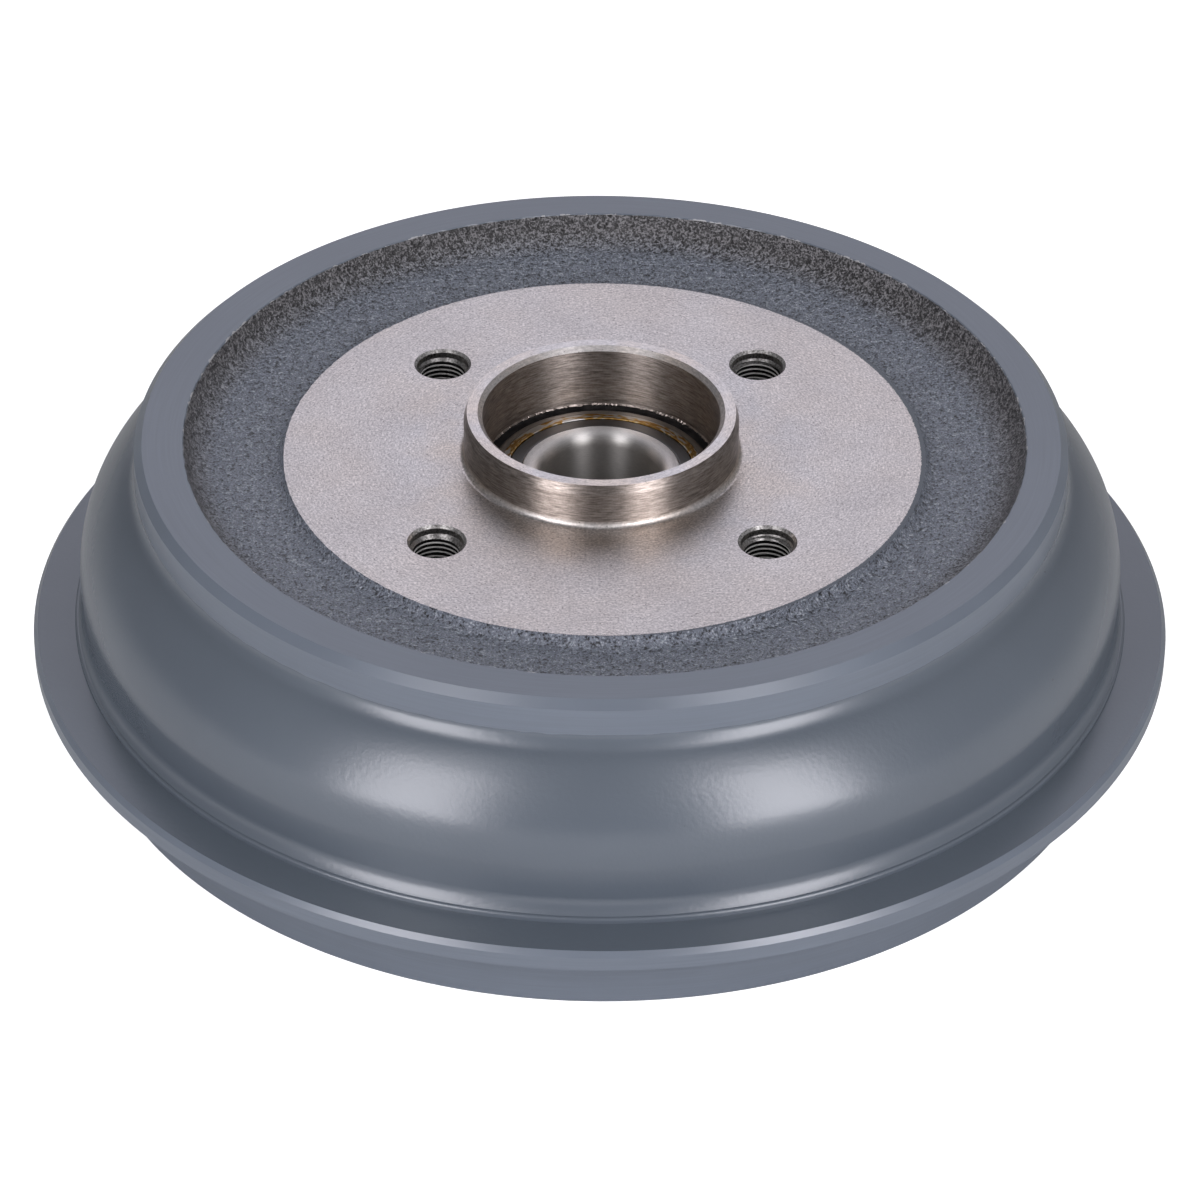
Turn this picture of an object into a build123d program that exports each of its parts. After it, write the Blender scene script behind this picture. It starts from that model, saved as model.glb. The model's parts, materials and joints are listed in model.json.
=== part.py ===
from build123d import *
import os

os.makedirs("parts", exist_ok=True)

# Rear brake drum cast in one with its hub, with the wheel bearing pressed into it.
# Millimetres. The origin is on the axis at the wheel-mounting face, and +Z points
# outboard, to the wheel. Sections are drawn in the XZ plane, radius along X.

# Wheel bearing, 29 x 53 x 37, and its seat
bearing_bore_r = 14.5
bearing_outer_r = 26.5
bearing_width = 37.0
bearing_inset = 5.1             # below the mounting face
seat_gap = 0.02                 # ring, seal and flinger seats, each side
stop_gap = 0.5                  # between the seal's edge and the lip that stops the ring
stop_width = 3.0

# Wheel side: bolts, mounting face, spigot and cap bore
wheel_pcd = 108.0
bolt_count = 4
bolt_start_angle = 45.0
thread_major_r = 6.0            # M12 x 1.25, drilled through at the thread's major size
relief_clearance = 0.25
relief_depth = 2.1
bolt_chamfer = 0.65
face_margin = 22.0              # from the bolt circle to the face's edge
face_edge_drop = 1.2
face_edge_run = 0.5
face_edge_radius = 0.3
cap_bore_step = 1.6             # from the bearing seat out to the cap bore
cap_bore_chamfer = 1.1
spigot_wall = 4.4               # makes the spigot 65 across
spigot_height = 11.2
spigot_lead_height = 2.3
spigot_lead_width = 0.75
spigot_root_radius = 1.5
groove_depth = 0.8              # tool relief at the bottom of the cap bore
groove_width = 1.6
groove_lip_gap = 0.08           # above the bearing's outboard face

# Cast channel between the mounting face and the rim
casting_shift_x = 0.85          # the cast channel sits off the turning axis
channel_depth = 2.4
channel_rise = 1.8
channel_wall_run = 3.0
channel_root_radius = 6.0
channel_face_radius = 2.0
cutter_overrun = 1.0

# Inside of the drum
friction_r = 114.3
friction_length = 38.5
relief_step = 0.7
relief_width = 2.2
mouth_step = 2.5
mouth_taper = 2.0
mouth_length = 4.2
mouth_chamfer = 1.0
corner_inset = 1.9              # the inner corner stands in from the friction surface
corner_radius = 9.0
corner_wall = 0.9
web_thickness = 10.4
web_radius = 6.0
pad_margin = 13.0               # from the bolt circle to the edge of the pad behind it
pad_step = 2.2
pad_edge_run = 4.4
hub_wall = 9.5
hub_root_radius = 5.0
hub_chamfer = 1.0

# Outside of the drum, as walls over the friction surface
rim_height = 6.0
rim_inset = 4.1
rim_width = 10.8
rim_chamfer = 1.9
rim_band_length = 8.9
shoulder_wall = 4.4
shoulder_drop = 5.75
shoulder_radius = 26.0
crest_wall = 10.5
crest_drop = 13.05
crest_radius = 24.0
foot_wall = 9.3
foot_radius = 5.0               # sweeps from the wall to the land's 45 degree slope
bulge_root_radius = 4.5
land_wall = 11.9
land_height = 1.4
land_ledge = 0.8                # flat between the slope and the land's outside
land_radius = 0.7
flange_width = 10.0
flange_thickness = 5.2
flange_fall = 0.5
flange_chamfer_width = 1.0
flange_chamfer_height = 1.3
lip_wall = 7.1
lip_length = 19.3
lip_root_radius = 1.0
lip_chamfer = 0.6

# Inside of the bearing: balls, raceways and cages
ring_wall = 1.95                # left in each ring behind the ball groove
groove_clearance = 0.08         # between a ball and each raceway
balls_per_row = 12
outer_rib_share = 0.567         # heights of the raceways' shoulders, to the ball's radius
outer_low_share = 0.239
inner_high_share = 0.592
inner_low_share = 0.214
inner_bore_radius = 3.0
inner_edge_chamfer = 0.3
outer_corner_radius = 1.5
cage_radial_gap = 0.4
cage_back = 1.0
cage_front = 2.3
cage_pocket_gap = 0.2
cage_seal_gap = 0.73

# Cassette seals
seal_seat_step = 0.6            # from the raceway's low shoulder out to the seal seat
seal_seat_depth = 5.6
case_wall = 0.8
case_rim_width = 2.08
case_proud = 0.03               # stands out of the rings' end faces
case_edge_radius = 0.25
flinger_wall = 0.8
flinger_recess = 0.25
flinger_edge_radius = 0.4
flinger_gap = 0.25              # between the flinger's edge and the case's rim
lip_gap = 0.3                   # between the seal lips and the flinger
side_lip_step = 0.4
side_lip_lean = 0.6
side_lip_thickness = 0.5

# Bearing radii: the balls fill what the two rings' walls leave between bore and outside
pitch_r = (bearing_bore_r + bearing_outer_r) / 2
groove_r = (bearing_outer_r - bearing_bore_r) / 2 - ring_wall
ball_r = groove_r - groove_clearance
outer_rib_r = pitch_r + groove_r - outer_rib_share * ball_r
outer_low_r = pitch_r + groove_r - outer_low_share * ball_r
inner_high_r = pitch_r - groove_r + inner_high_share * ball_r
inner_low_r = pitch_r - groove_r + inner_low_share * ball_r
seal_seat_r = outer_low_r + seal_seat_step
case_rim_r = seal_seat_r - seat_gap - case_rim_width
row_offset = (
    bearing_width / 2 - seal_seat_depth - cage_seal_gap - cage_back - cage_pocket_gap - ball_r
)

# Hub radii and heights, outwards and downwards from the bearing
seat_r = bearing_outer_r + seat_gap
stop_r = seal_seat_r + stop_gap
hub_r = bearing_outer_r + hub_wall
cap_bore_r = bearing_outer_r + cap_bore_step
spigot_r = cap_bore_r + spigot_wall
face_r = wheel_pcd / 2 + face_margin
bearing_top_z = -bearing_inset
bearing_mid_z = bearing_top_z - bearing_width / 2
bearing_bottom_z = bearing_top_z - bearing_width
hub_end_z = bearing_bottom_z - stop_width
groove_lip_z = bearing_top_z + groove_lip_gap
groove_floor_z = groove_lip_z - groove_width

# Drum radii and heights
rim_r = friction_r - rim_inset
channel_rim_r = rim_r - rim_width
mouth_r = friction_r + mouth_step
lip_r = mouth_r + lip_wall
foot_r = friction_r + foot_wall
land_r = friction_r + land_wall
ledge_r = land_r - land_ledge
flange_r = land_r + flange_width
web_bottom_z = -web_thickness
pad_bottom_z = web_bottom_z - pad_step
relief_top_z = web_bottom_z - corner_radius - corner_wall
friction_top_z = relief_top_z - relief_width
friction_end_z = friction_top_z - friction_length
open_end_z = friction_end_z - mouth_taper - mouth_length
flange_bottom_z = open_end_z + lip_length
flange_top_z = flange_bottom_z + flange_thickness
land_z = flange_top_z + land_height


def depth_z(side, depth):
    """Height of a plane at a depth below one face of the bearing; side 1 is outboard."""
    return bearing_mid_z + side * (bearing_width / 2 - depth)


def row_z(side):
    """Height of one row's ball centres."""
    return bearing_mid_z + side * row_offset


def groove_reach(shoulder_r):
    """Half the width of a ball groove where it meets a shoulder of this radius."""
    return (groove_r**2 - (shoulder_r - pitch_r) ** 2) ** 0.5


def channel_section(shift):
    """Cast channel between the mounting face and the rim, open upwards."""
    floor_start = face_r + face_edge_run + channel_depth - face_edge_drop
    FilletPolyline(
        (shift + face_r, 0),
        (shift + face_r + face_edge_run, -face_edge_drop),
        (shift + floor_start, -channel_depth),
        (shift + channel_rim_r - channel_wall_run, channel_rise - channel_depth),
        (shift + channel_rim_r, rim_height),
        radius=[face_edge_radius, channel_face_radius, channel_root_radius],
    )
    Polyline(
        (shift + channel_rim_r, rim_height),
        (shift + channel_rim_r, rim_height + cutter_overrun),
        (shift + face_r, rim_height + cutter_overrun),
        (shift + face_r, 0),
    )


def drum_wheel_side():
    """Cap bore, spigot and mounting face, from the bearing seat out to the rim's edge."""
    Polyline(
        (seat_r, groove_floor_z),
        (cap_bore_r + groove_depth, groove_floor_z),
        (cap_bore_r + groove_depth, groove_lip_z),
        (cap_bore_r, groove_lip_z),
        (cap_bore_r, spigot_height - cap_bore_chamfer),
        (cap_bore_r + cap_bore_chamfer, spigot_height),
        (spigot_r - spigot_lead_width, spigot_height),
        (spigot_r, spigot_height - spigot_lead_height),
        (spigot_r, spigot_root_radius),
    )
    RadiusArc(
        (spigot_r, spigot_root_radius), (spigot_r + spigot_root_radius, 0), spigot_root_radius
    )
    Polyline(
        (spigot_r + spigot_root_radius, 0),
        (channel_rim_r - channel_wall_run, 0),
        (channel_rim_r - channel_wall_run, rim_height),
        (rim_r - rim_chamfer, rim_height),
        (rim_r, rim_height - rim_chamfer),
    )


def drum_outside():
    """Rim band, bulge, land, flange and lip, down to the open end."""
    band_end_z = rim_height - rim_chamfer - rim_band_length
    shoulder_z = band_end_z - shoulder_drop
    FilletPolyline(
        (rim_r, rim_height - rim_chamfer),
        (rim_r, band_end_z),
        (friction_r + shoulder_wall, shoulder_z),
        (friction_r + crest_wall, shoulder_z - crest_drop),
        (foot_r, land_z + ledge_r - foot_r),
        (ledge_r, land_z),
        radius=[bulge_root_radius, shoulder_radius, crest_radius, foot_radius],
    )
    FilletPolyline((ledge_r, land_z), (land_r, land_z), (land_r, flange_top_z), radius=land_radius)
    flange_edge_z = flange_top_z - flange_fall
    Polyline(
        (land_r, flange_top_z),
        (flange_r - flange_chamfer_width, flange_edge_z),
        (flange_r, flange_edge_z - flange_chamfer_height),
        (flange_r, flange_bottom_z),
    )
    FilletPolyline(
        (flange_r, flange_bottom_z),
        (lip_r, flange_bottom_z),
        (lip_r, open_end_z + lip_chamfer),
        radius=lip_root_radius,
    )
    Line((lip_r, open_end_z + lip_chamfer), (lip_r - lip_chamfer, open_end_z))


def drum_inside():
    """Mouth, friction surface, web and hub, back to the bearing seat."""
    inner_r = friction_r - corner_inset
    pad_r = wheel_pcd / 2 + pad_margin
    Polyline(
        (lip_r - lip_chamfer, open_end_z),
        (mouth_r + mouth_chamfer, open_end_z),
        (mouth_r, open_end_z + mouth_chamfer),
        (mouth_r, friction_end_z - mouth_taper),
        (friction_r, friction_end_z),
        (friction_r, friction_top_z),
        (friction_r + relief_step, friction_top_z),
        (friction_r + relief_step, relief_top_z),
        (inner_r, relief_top_z),
    )
    FilletPolyline(
        (inner_r, relief_top_z),
        (inner_r, web_bottom_z),
        (pad_r + pad_edge_run, web_bottom_z),
        (pad_r, pad_bottom_z),
        (hub_r, pad_bottom_z),
        (hub_r, hub_end_z + hub_chamfer),
        radius=[corner_radius, web_radius, web_radius, hub_root_radius],
    )
    Polyline(
        (hub_r, hub_end_z + hub_chamfer),
        (hub_r - hub_chamfer, hub_end_z),
        (stop_r, hub_end_z),
        (stop_r, bearing_bottom_z),
        (seat_r, bearing_bottom_z),
        (seat_r, groove_floor_z),
    )


# Brake drum: one grey-iron casting, turned all over except the channel
with BuildPart() as brake_drum:
    with BuildSketch(Plane.XZ):
        with BuildLine():
            drum_wheel_side()
            drum_outside()
            drum_inside()
        make_face()
    revolve(axis=Axis.Z)
    # The cast channel turns about its own shifted axis and sets the mounting face's edge
    with BuildSketch(Plane.XZ):
        with BuildLine():
            channel_section(casting_shift_x)
        make_face()
    revolve(axis=Axis((casting_shift_x, 0, 0), (0, 0, 1)), mode=Mode.SUBTRACT)
    # Wheel-bolt holes: threaded length, plain relief above it, chamfered mouth
    with PolarLocations(wheel_pcd / 2, bolt_count, start_angle=bolt_start_angle):
        Hole(radius=thread_major_r)
        Hole(radius=thread_major_r + relief_clearance, depth=relief_depth)
    mouths = brake_drum.edges(Select.LAST).group_by(Axis.Z)[-1]
    chamfer(mouths, length=bolt_chamfer)
brake_drum.part.label = "brake_drum"
export_step(brake_drum.part, "parts/brake_drum.step")


# Bearing outer ring: two raceways, a rib between them and a seal seat at each end
def outer_ring_half(side):
    """Bore of one half, from the ring's end face to the middle of the rib."""
    seat_end_z = depth_z(side, seal_seat_depth)
    low_edge_z = row_z(side) + side * groove_reach(outer_low_r)
    rib_edge_z = row_z(side) - side * groove_reach(outer_rib_r)
    Polyline(
        (seal_seat_r, depth_z(side, 0)),
        (seal_seat_r, seat_end_z),
        (outer_low_r, seat_end_z),
        (outer_low_r, low_edge_z),
    )
    ThreePointArc(
        (outer_low_r, low_edge_z),
        (pitch_r + groove_r, row_z(side)),
        (outer_rib_r, rib_edge_z),
    )
    Line((outer_rib_r, rib_edge_z), (outer_rib_r, bearing_mid_z))


with BuildPart() as bearing_outer_ring:
    with BuildSketch(Plane.XZ):
        with BuildLine():
            outer_ring_half(1)
            outer_ring_half(-1)
            FilletPolyline(
                (seal_seat_r, bearing_top_z),
                (bearing_outer_r, bearing_top_z),
                (bearing_outer_r, bearing_bottom_z),
                (seal_seat_r, bearing_bottom_z),
                radius=outer_corner_radius,
            )
        make_face()
    revolve(axis=Axis.Z)
bearing_outer_ring.part.label = "bearing_outer_ring"
export_step(bearing_outer_ring.part, "parts/bearing_outer_ring.step")


def inner_ring(side):
    """One of the two inner rings: high shoulder at the face, low shoulder at the middle."""
    face_z = depth_z(side, 0)
    high_edge_z = row_z(side) + side * groove_reach(inner_high_r)
    low_edge_z = row_z(side) - side * groove_reach(inner_low_r)
    with BuildPart() as ring:
        with BuildSketch(Plane.XZ):
            with BuildLine():
                Polyline(
                    (bearing_bore_r + inner_bore_radius, face_z),
                    (inner_high_r - inner_edge_chamfer, face_z),
                    (inner_high_r, face_z - side * inner_edge_chamfer),
                    (inner_high_r, high_edge_z),
                )
                ThreePointArc(
                    (inner_high_r, high_edge_z),
                    (pitch_r - groove_r, row_z(side)),
                    (inner_low_r, low_edge_z),
                )
                Polyline(
                    (inner_low_r, low_edge_z),
                    (inner_low_r, bearing_mid_z),
                    (bearing_bore_r + inner_edge_chamfer, bearing_mid_z),
                    (bearing_bore_r, bearing_mid_z + side * inner_edge_chamfer),
                    (bearing_bore_r, face_z - side * inner_bore_radius),
                )
                RadiusArc(
                    (bearing_bore_r, face_z - side * inner_bore_radius),
                    (bearing_bore_r + inner_bore_radius, face_z),
                    side * inner_bore_radius,
                )
            make_face()
        revolve(axis=Axis.Z)
    return ring.part


def cage(side):
    """Snap cage: a ring with a closed back towards the seal and open ball pockets."""
    pocket_r = ball_r + cage_pocket_gap
    back_z = row_z(side) + side * (pocket_r + cage_back)
    front_z = row_z(side) - side * cage_front
    with BuildPart() as ring:
        with BuildSketch(Plane.XZ):
            with BuildLine():
                Polyline(
                    (inner_high_r + cage_radial_gap, back_z),
                    (outer_rib_r - cage_radial_gap, back_z),
                    (outer_rib_r - cage_radial_gap, front_z),
                    (inner_high_r + cage_radial_gap, front_z),
                    close=True,
                )
            make_face()
        revolve(axis=Axis.Z)
        with Locations((0, 0, row_z(side))):
            with PolarLocations(pitch_r, balls_per_row):
                Sphere(pocket_r, mode=Mode.SUBTRACT)
    return ring.part


def seal_case(side):
    """Pressed case of the cassette seal, with its bonded side lip and sleeve lip."""
    sleeve_r = seal_seat_r - seat_gap
    sleeve_lip_r = inner_high_r + seat_gap + flinger_wall + lip_gap
    side_lip_r = sleeve_lip_r + side_lip_step
    side_lip_end_r = side_lip_r + side_lip_lean
    rim_z = depth_z(side, -case_proud)
    rim_under_z = depth_z(side, case_wall - case_proud)
    floor_z = depth_z(side, seal_seat_depth)
    floor_top_z = depth_z(side, seal_seat_depth - case_wall)
    side_lip_end_z = depth_z(side, flinger_recess + flinger_wall + lip_gap)
    with BuildPart() as case:
        with BuildSketch(Plane.XZ):
            with BuildLine():
                FilletPolyline(
                    (case_rim_r, rim_under_z),
                    (case_rim_r, rim_z),
                    (sleeve_r, rim_z),
                    (sleeve_r, floor_z),
                    radius=case_edge_radius,
                )
                Polyline(
                    (sleeve_r, floor_z),
                    (sleeve_lip_r, floor_z),
                    (sleeve_lip_r, floor_top_z),
                    (side_lip_r, floor_top_z),
                    (side_lip_end_r, side_lip_end_z),
                    (side_lip_end_r + side_lip_thickness, side_lip_end_z),
                    (side_lip_r + side_lip_thickness, floor_top_z),
                    (sleeve_r - case_wall, floor_top_z),
                    (sleeve_r - case_wall, rim_under_z),
                    (case_rim_r, rim_under_z),
                )
            make_face()
        revolve(axis=Axis.Z)
    return case.part


def flinger(side):
    """Pressed angle ring on the inner ring's shoulder, closing the seal from outside."""
    seat = inner_high_r + seat_gap
    edge_r = case_rim_r - flinger_gap
    top_z = depth_z(side, flinger_recess)
    under_z = depth_z(side, flinger_recess + flinger_wall)
    sleeve_end_z = depth_z(side, seal_seat_depth)
    with BuildPart() as ring:
        with BuildSketch(Plane.XZ):
            with BuildLine():
                FilletPolyline(
                    (seat, sleeve_end_z),
                    (seat, top_z),
                    (edge_r, top_z),
                    radius=flinger_edge_radius,
                )
                Polyline(
                    (edge_r, top_z),
                    (edge_r, under_z),
                    (seat + flinger_wall, under_z),
                    (seat + flinger_wall, sleeve_end_z),
                    (seat, sleeve_end_z),
                )
            make_face()
        revolve(axis=Axis.Z)
    return ring.part


def ball(side, angle):
    """One ball in its row, at this angle round the pitch circle."""
    with BuildPart() as sphere:
        with Locations((0, 0, row_z(side))):
            with PolarLocations(pitch_r, 1, start_angle=angle):
                Sphere(ball_r)
    return sphere.part


# Everything that the bearing has at each end
for end, side in (("outboard", 1), ("inboard", -1)):
    for piece_name, make in (
        ("inner_ring", inner_ring),
        ("cage", cage),
        ("seal_case", seal_case),
        ("flinger", flinger),
    ):
        piece = make(side)
        piece.label = f"{end}_{piece_name}"
        export_step(piece, f"parts/{end}_{piece_name}.step")
    for number in range(balls_per_row):
        piece = ball(side, number * 360 / balls_per_row)
        piece.label = f"{end}_ball_{number + 1}"
        export_step(piece, f"parts/{end}_ball_{number + 1}.step")
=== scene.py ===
import json
import math

import bmesh
import bpy
from mathutils import Matrix, Vector, noise


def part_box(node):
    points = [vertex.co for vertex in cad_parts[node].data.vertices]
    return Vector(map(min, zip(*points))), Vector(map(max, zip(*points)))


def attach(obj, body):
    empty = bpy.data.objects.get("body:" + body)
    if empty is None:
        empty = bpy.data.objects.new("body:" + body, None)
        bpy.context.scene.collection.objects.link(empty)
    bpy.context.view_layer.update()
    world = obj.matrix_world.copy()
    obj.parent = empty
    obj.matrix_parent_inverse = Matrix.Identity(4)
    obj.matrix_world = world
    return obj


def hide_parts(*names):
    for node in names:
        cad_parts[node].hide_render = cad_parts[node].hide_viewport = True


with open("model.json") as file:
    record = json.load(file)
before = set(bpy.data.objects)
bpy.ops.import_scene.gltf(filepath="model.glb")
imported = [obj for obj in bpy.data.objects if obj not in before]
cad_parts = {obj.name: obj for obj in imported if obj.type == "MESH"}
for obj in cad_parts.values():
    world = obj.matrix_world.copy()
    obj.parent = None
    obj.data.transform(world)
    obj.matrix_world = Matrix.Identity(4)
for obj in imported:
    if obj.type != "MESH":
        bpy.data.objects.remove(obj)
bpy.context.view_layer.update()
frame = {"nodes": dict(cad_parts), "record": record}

# Metres, in the part's own frame: the origin is on the axis at the wheel-mounting face,
# and +Z points to the wheel. Lengths are written in millimetres times MM.
MM = 0.001

# What the frame gives: interfaces from the record, outer sizes from the nodes
mounts = {mount["name"]: mount for mount in frame["record"]["mounts"]}
bolt_circle_r = mounts["wheel_bolts"]["dims"]["pcd_mm"] / 2 * MM
bolt_count = mounts["wheel_bolts"]["dims"]["count"]
thread_major_r = mounts["wheel_bolts"]["dims"]["hole_r_mm"] * MM
spigot_r = mounts["wheel_spigot"]["dims"]["r_mm"] * MM
cap_bore_r = mounts["cap_bore"]["dims"]["r_mm"] * MM
stub_axle_r = mounts["stub_axle_bore"]["dims"]["r_mm"] * MM
drum_low, drum_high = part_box("brake_drum")
ring_low, ring_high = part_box("bearing_outer_ring")
flange_r = drum_high.x
spigot_top_z = drum_high.z
open_end_z = drum_low.z
bearing_r = ring_high.x
bearing_top_z = ring_high.z
bearing_bottom_z = ring_low.z

# Wheel side of the drum
seat_gap = 0.02 * MM
relief_r = thread_major_r + 0.25 * MM
relief_depth = 2.1 * MM
hole_chamfer = 0.65 * MM
face_r = bolt_circle_r + 22 * MM
face_edge_drop = 1.2 * MM
face_edge_run = 0.5 * MM
face_edge_radius = 0.3 * MM
cap_bore_chamfer = 1.1 * MM
spigot_lead_height = 2.3 * MM
spigot_lead_width = 0.75 * MM
spigot_root_radius = 1.5 * MM
fillet_margin = 0.05 * MM
groove_depth = 0.8 * MM
groove_width = 1.6 * MM
groove_lip_z = bearing_top_z + 0.08 * MM
burr_height = 0.35 * MM

# Cast channel
casting_shift = Vector((0.85 * MM, 0, 0))
channel_depth = 2.4 * MM
channel_rise = 1.8 * MM
channel_wall_run = 3.0 * MM
channel_root_radius = 6.0 * MM
channel_face_radius = 2.0 * MM

# Outside, from the flange inwards and from the rim down
land_r = flange_r - 10 * MM
rim_r = flange_r - 26 * MM
channel_rim_r = rim_r - 10.8 * MM
rim_height = 6.0 * MM
rim_chamfer = 1.9 * MM
rim_edge_break = 0.25 * MM
rim_band_end_z = -4.8 * MM
bulge_root_radius = 4.5 * MM
shoulder_radius = 26 * MM
crest_radius = 24 * MM
foot_radius = 5.0 * MM
land_radius = 0.7 * MM
lip_root_radius = 1.0 * MM
band_step = 0.12 * MM
band_step_z = rim_band_end_z + 2.2 * MM
band_edge_height = 0.6 * MM
shoulder_r = rim_r + 8.5 * MM
shoulder_z = rim_band_end_z - 5.75 * MM
crest_r = rim_r + 14.6 * MM
crest_z = shoulder_z - 13.05 * MM
foot_r = rim_r + 13.4 * MM
flange_bottom_z = open_end_z + 19.3 * MM
flange_top_z = flange_bottom_z + 5.2 * MM
flange_fall = 0.5 * MM
flange_chamfer_width = 1.0 * MM
flange_chamfer_height = 1.3 * MM
land_z = flange_top_z + 1.4 * MM
ledge_r = land_r - 0.8 * MM
lip_r = land_r - 2.3 * MM
lip_chamfer = 0.6 * MM

# Inside
mouth_r = lip_r - 7.1 * MM
mouth_chamfer = 1.0 * MM
friction_r = mouth_r - 2.5 * MM
friction_end_z = open_end_z + 6.2 * MM
mouth_taper = 2.0 * MM
friction_top_z = friction_end_z + 38.5 * MM
relief_step = 0.7 * MM
relief_top_z = friction_top_z + 2.2 * MM
inner_r = friction_r - 1.9 * MM
web_bottom_z = -10.4 * MM
pad_r = bolt_circle_r + 13 * MM
pad_edge_run = 4.4 * MM
pad_bottom_z = -12.6 * MM
hub_r = bearing_r + 9.5 * MM
hub_end_z = bearing_bottom_z - 3.0 * MM
hub_chamfer = 1.0 * MM
inner_corner_radius = 9 * MM
pad_radius = 6 * MM
hub_root_radius = 5 * MM
stop_r = bearing_r - 1.8 * MM

# Bolt threads, M12 x 1.25
thread_pitch = 1.25 * MM
thread_minor_r = thread_major_r - 0.67 * MM
thread_crest = 0.3 * MM
thread_root = 0.2 * MM
thread_steps = 48
cone_depth = 1.1 * MM
first_bolt_degrees = 45

# How finely the drum is turned, welded and shaded
turn_steps = 600
round_segments = 6
long_round_segments = 10
foot_segments = 8
face_edge_segments = 4
channel_face_segments = 3
pad_segments = 2
channel_row = 1.1 * MM
weld_distance = 0.004 * MM
cutter_weld_distance = 0.01 * MM
sharp_degrees = 16.5

# How strongly the coating reflects
coating_ior = 1.7

# Studio: radiance and brightness in linear light, angles in degrees, lengths in metres
floor_glow = 0.8
floor_albedo = 0.72
ambient_strength = 0.405
tent_dim = 0.19
tent_bright = 0.34
tent_bright_x = 3.0
tent_colour = (1.0, 1.0, 1.06, 1.0)
back_wall_colour = (1.0, 1.0, 1.16)
tent_opening_degrees = 28
tent_back_top_degrees = 62
softbox_radiance = 5.9
softbox_colour = (1.0, 0.985, 1.04)
softbox_width = 0.32
softbox_low = -5
softbox_fade = 41
softbox_high = 58
softbox_faded_share = 0.3
softbox_distance = 0.75
softbox_azimuths = {"left": -36.5, "right": 35.5}
softbox_shares = {"left": 1.0, "right": 1.08}

# A quarter turn: a grooved surface spreads its reflections across the grooves
across_the_grooves = 0.25

# Finishes of the drum, in the order of its material slots
COATED_CAST, COATED_TURNED, SAND_CAST, TURNED_FACE, TURNED_WALL, FRICTION, GROOVE_SHADE = range(7)


def new_object(name, bm):
    """Writes a bmesh into a new object at the origin."""
    mesh = bpy.data.meshes.new(name)
    bm.to_mesh(mesh)
    bm.free()
    piece = bpy.data.objects.new(name, mesh)
    bpy.context.scene.collection.objects.link(piece)
    return piece


def round_corner(bm, corner, radius, segments):
    """Rounds one corner of a section's wire to a true radius."""
    first, second = (edge.other_vert(corner).co - corner.co for edge in corner.link_edges)
    reach = radius / math.tan(first.angle(second) / 2)
    bmesh.ops.bevel(
        bm, geom=[corner], offset=reach, offset_type="OFFSET", affect="VERTICES",
        segments=segments, profile=0.5, material=-1,
    )


def turned(drum, section, finish, rows=None):
    """Turns one stretch of section round the axis and adds it to the drum. A corner is (r, z) or
    (r, z, radius, segments), and rows is the longest stretch left between two rows of faces."""
    bm = bmesh.new()
    corners = [bm.verts.new((point[0], 0, point[1])) for point in section]
    for start, end in zip(corners, corners[1:]):
        bm.edges.new((start, end))
    for corner, point in zip(corners, section):
        if len(point) > 2:
            round_corner(bm, corner, *point[2:])
    if rows:
        for edge in bm.edges[:]:
            cuts = int(edge.calc_length() / rows)
            if cuts:
                bmesh.ops.subdivide_edges(bm, edges=[edge], cuts=cuts)
    bmesh.ops.spin(
        bm, geom=bm.verts[:] + bm.edges[:], cent=(0, 0, 0), axis=(0, 0, 1), dvec=(0, 0, 0),
        angle=math.tau, steps=turn_steps, use_merge=True, use_normal_flip=False, use_duplicate=False,
    )
    for face in bm.faces:
        face.material_index = finish
    stretch = bpy.data.meshes.new("stretch")
    bm.to_mesh(stretch)
    bm.free()
    drum.from_mesh(stretch)
    bpy.data.meshes.remove(stretch)


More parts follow.
